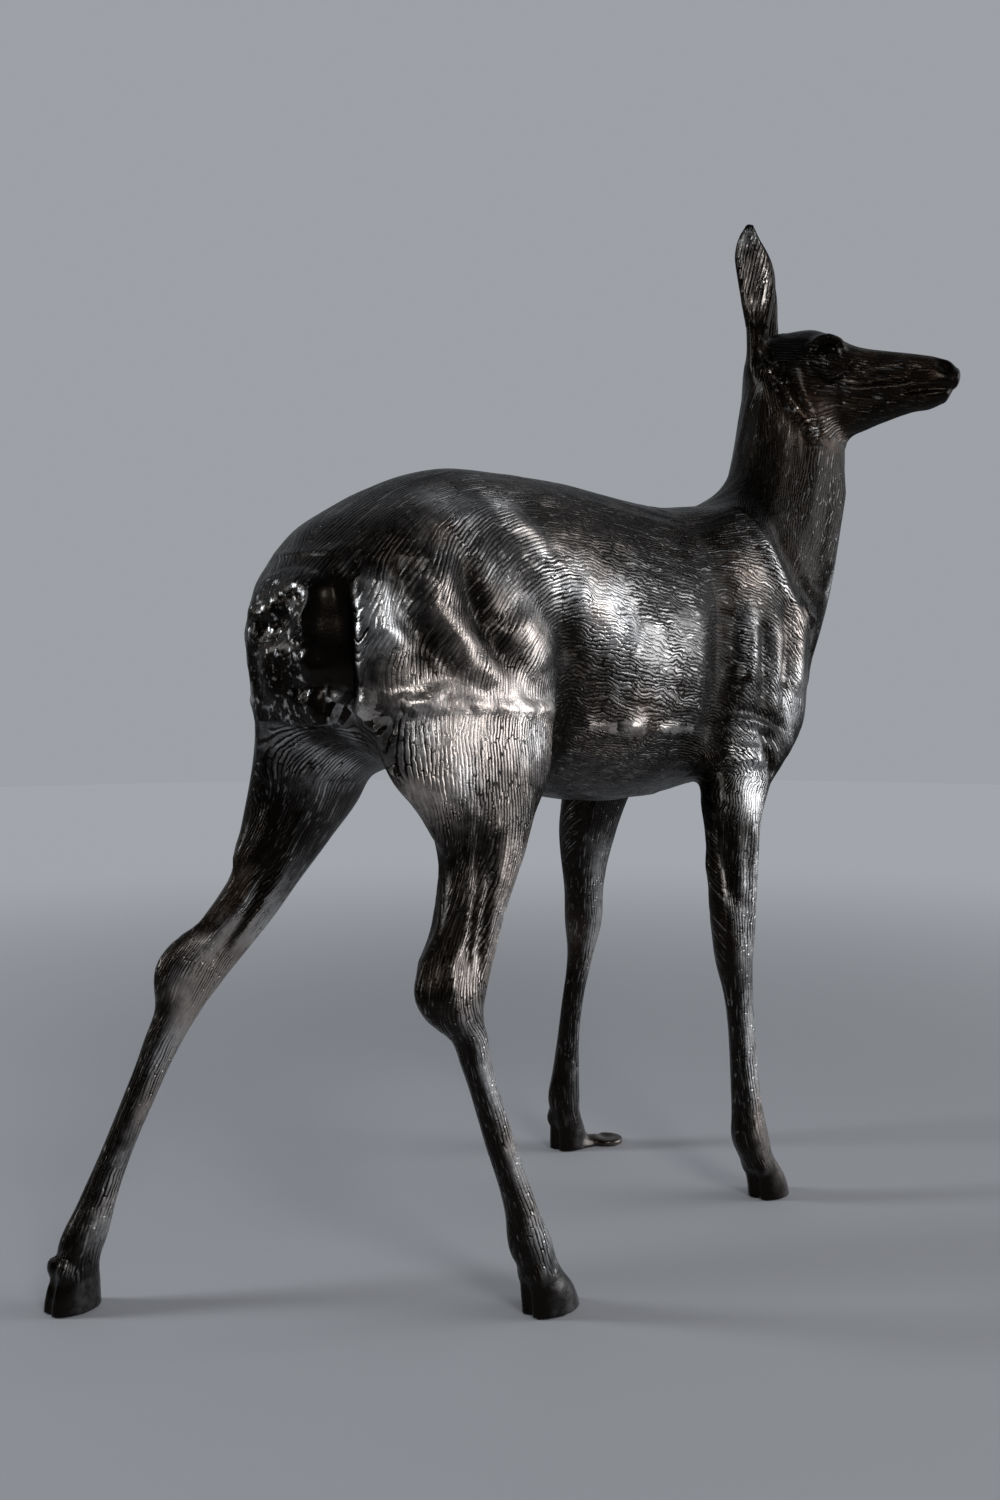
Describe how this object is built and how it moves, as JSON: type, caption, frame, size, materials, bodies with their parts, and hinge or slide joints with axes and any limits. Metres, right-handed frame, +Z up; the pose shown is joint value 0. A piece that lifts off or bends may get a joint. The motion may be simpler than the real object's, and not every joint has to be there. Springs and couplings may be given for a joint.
{
  "type": "doe statue",
  "caption": "Life-size standing doe in cast aluminium, legs in a walking stance, head turned level to its right, ears upright, hair texture and dark patina.",
  "frame": {"origin": "centre of the bounding box on the floor under the soles", "axes": "+X the way the doe's body points, +Y its left side, +Z up"},
  "size_m": [1.1048, 0.4112, 1.2077],
  "materials": {
    "patinated_aluminium": "cast aluminium with a dark bronze-black patina, worn silvery on the ridges, gloss clear coat"
  },
  "bodies": {
    "root": {"doe": "patinated_aluminium"}
  },
  "joints": []
}
